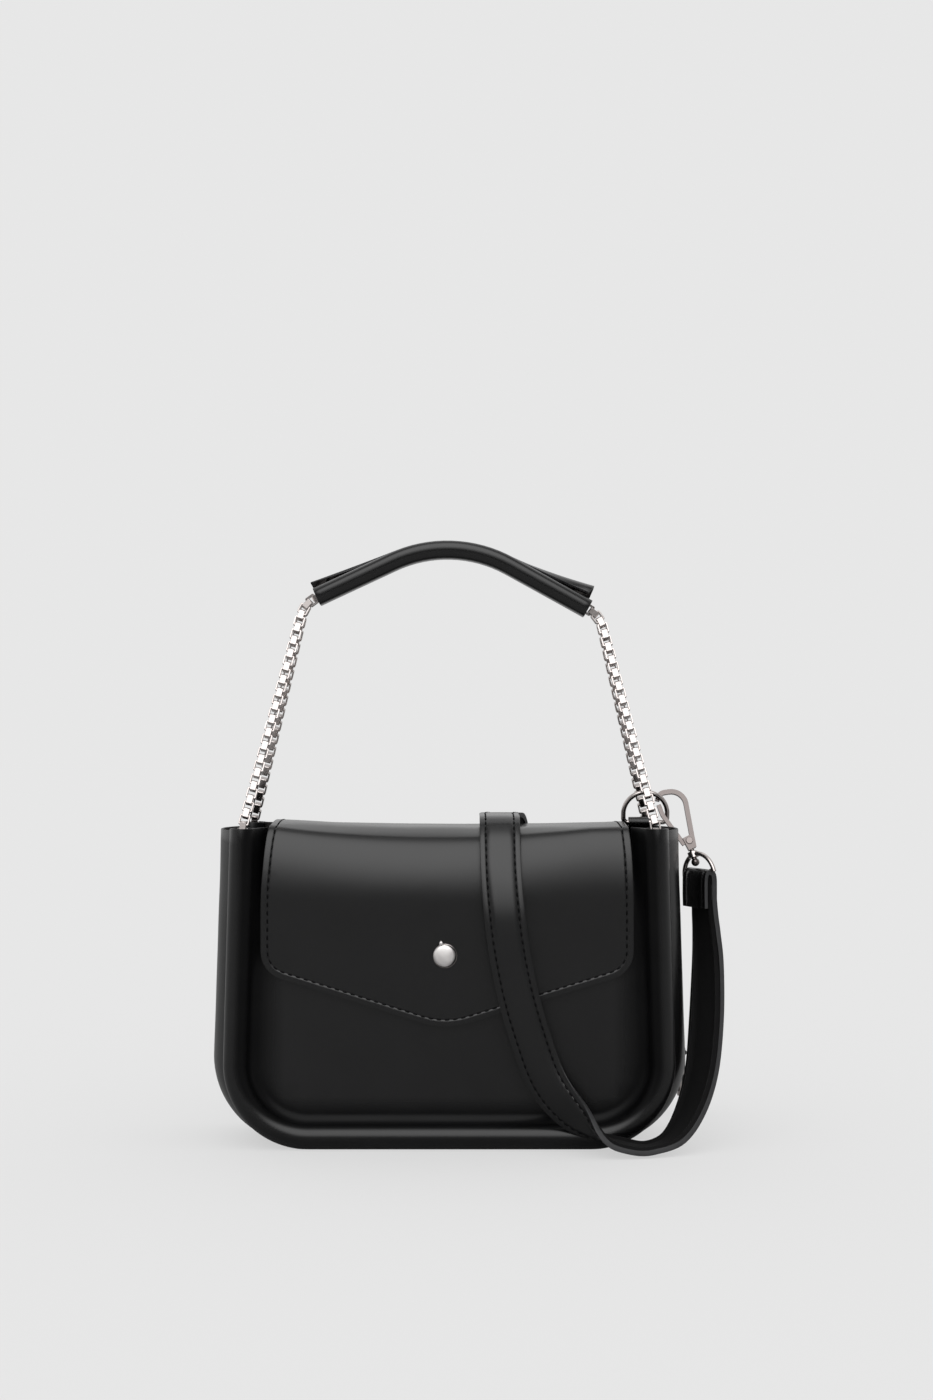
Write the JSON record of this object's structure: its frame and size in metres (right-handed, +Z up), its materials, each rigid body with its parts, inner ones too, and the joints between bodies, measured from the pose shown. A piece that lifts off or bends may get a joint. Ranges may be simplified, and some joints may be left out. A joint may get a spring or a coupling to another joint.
{
  "type": "chain shoulder bag",
  "caption": "Flat black leather shoulder bag with rolled U-shaped edges, a pointed flap with a turn lock, a chain handle in a leather wrap, and a shoulder strap with snap hooks.",
  "frame": {"origin": "on the floor under the middle of the bag's body, on the resting face of its gusset", "axes": "+X to the viewer's right, +Z up, the flap's front faces -Y"},
  "size_m": [0.2606, 0.1448, 0.3011],
  "materials": {
    "leather": "polished, smooth",
    "lining": "matte",
    "board": "matte",
    "steel": "polished"
  },
  "bodies": {
    "bag": {"front_panel": "leather", "back_panel": "leather", "gusset": "leather", "lining": "lining", "base_board": "board", "flap_root": "leather", "lock_plate": "steel", "chain_front_left": "steel", "chain_front_right": "steel", "chain_back_left": "steel", "chain_back_right": "steel", "chain_anchors": "steel", "ring_tab_right": "leather", "ring_tab_left": "leather", "swivel_loop_right": "steel", "swivel_loop_left": "steel", "strap_front": "leather", "strap_back": "leather", "strap_return": "leather", "strap_end_right": "leather", "strap_end_left": "leather", "buckle_frame": "steel"},
    "flap": {"flap": "leather", "flap_lining": "lining", "lock_ring": "steel"},
    "lock_knob": {"knob_cap": "steel", "knob_spindle": "steel", "toggle_bar": "steel"},
    "handle": {"handle_wrap": "leather", "grip_chain_front": "steel", "grip_chain_back": "steel"},
    "ring_right": {"ring_right": "steel"},
    "ring_left": {"ring_left": "steel"},
    "hook_right": {"hook_right": "steel", "hook_right_rivet": "steel"},
    "hook_right_gate": {"hook_right_gate": "steel"},
    "hook_left": {"hook_left": "steel", "hook_left_rivet": "steel"},
    "hook_left_gate": {"hook_left_gate": "steel"},
    "buckle_prong": {"buckle_prong": "steel"}
  },
  "joints": [
    {"name": "flap_hinge", "type": "hinge", "parent": "bag", "child": "flap", "pos_m": [0, 0.0292, 0.1543], "axis": [-1, 0, 0], "range_deg": [0, 40], "deforming": ["strap_front", "strap_back"]},
    {"name": "knob_turn", "type": "hinge", "parent": "flap", "child": "lock_knob", "pos_m": [-0.002, -0.027, 0.0946], "axis": [0, 1, 0], "range_deg": [0, 90]},
    {"name": "handle_tilt", "type": "hinge", "parent": "bag", "child": "handle", "pos_m": [0, 0, 0.157], "axis": [1, 0, 0], "range_deg": [-25, 25], "deforming": ["chain_front_left", "chain_front_right", "chain_back_left", "chain_back_right"]},
    {"name": "ring_right_pivot", "type": "hinge", "parent": "bag", "child": "ring_right", "pos_m": [0.1001, 0.0194, 0.1573], "axis": [1, 0, 0], "range_deg": [0, 5]},
    {"name": "ring_left_pivot", "type": "hinge", "parent": "bag", "child": "ring_left", "pos_m": [-0.0945, 0.01685, 0.1495], "axis": [-1, 0, 0], "range_deg": [0, 105]},
    {"name": "hook_right_swivel", "type": "hinge", "parent": "bag", "child": "hook_right", "pos_m": [0.12387, 0.01046, 0.14124], "axis": [-0.2588, 0.2662, 0.9285], "range_deg": [-4, 1.2]},
    {"name": "hook_right_gate_turn", "type": "hinge", "parent": "hook_right", "child": "hook_right_gate", "pos_m": [0.12197, 0.01241, 0.14805], "axis": [0, 0.9613, -0.2756], "range_deg": [0, 2], "stiffness_Nm_per_rad": 0.02, "springref_deg": -5.73},
    {"name": "hook_left_swivel", "type": "hinge", "parent": "bag", "child": "hook_left", "pos_m": [-0.07346, 0.06874, 0.00275], "axis": [-1, 0, 0], "range_deg": [-10, 10]},
    {"name": "hook_left_gate_turn", "type": "hinge", "parent": "hook_left", "child": "hook_left_gate", "pos_m": [-0.08079, 0.06874, 0.00275], "axis": [0, 0, -1], "range_deg": [0, 18], "stiffness_Nm_per_rad": 0.02, "springref_deg": -5.73},
    {"name": "prong_hinge", "type": "hinge", "parent": "bag", "child": "buckle_prong", "pos_m": [0.121, 0.05051, 0.02449], "axis": [0, 0, 1], "range_deg": [-3, 3]}
  ]
}
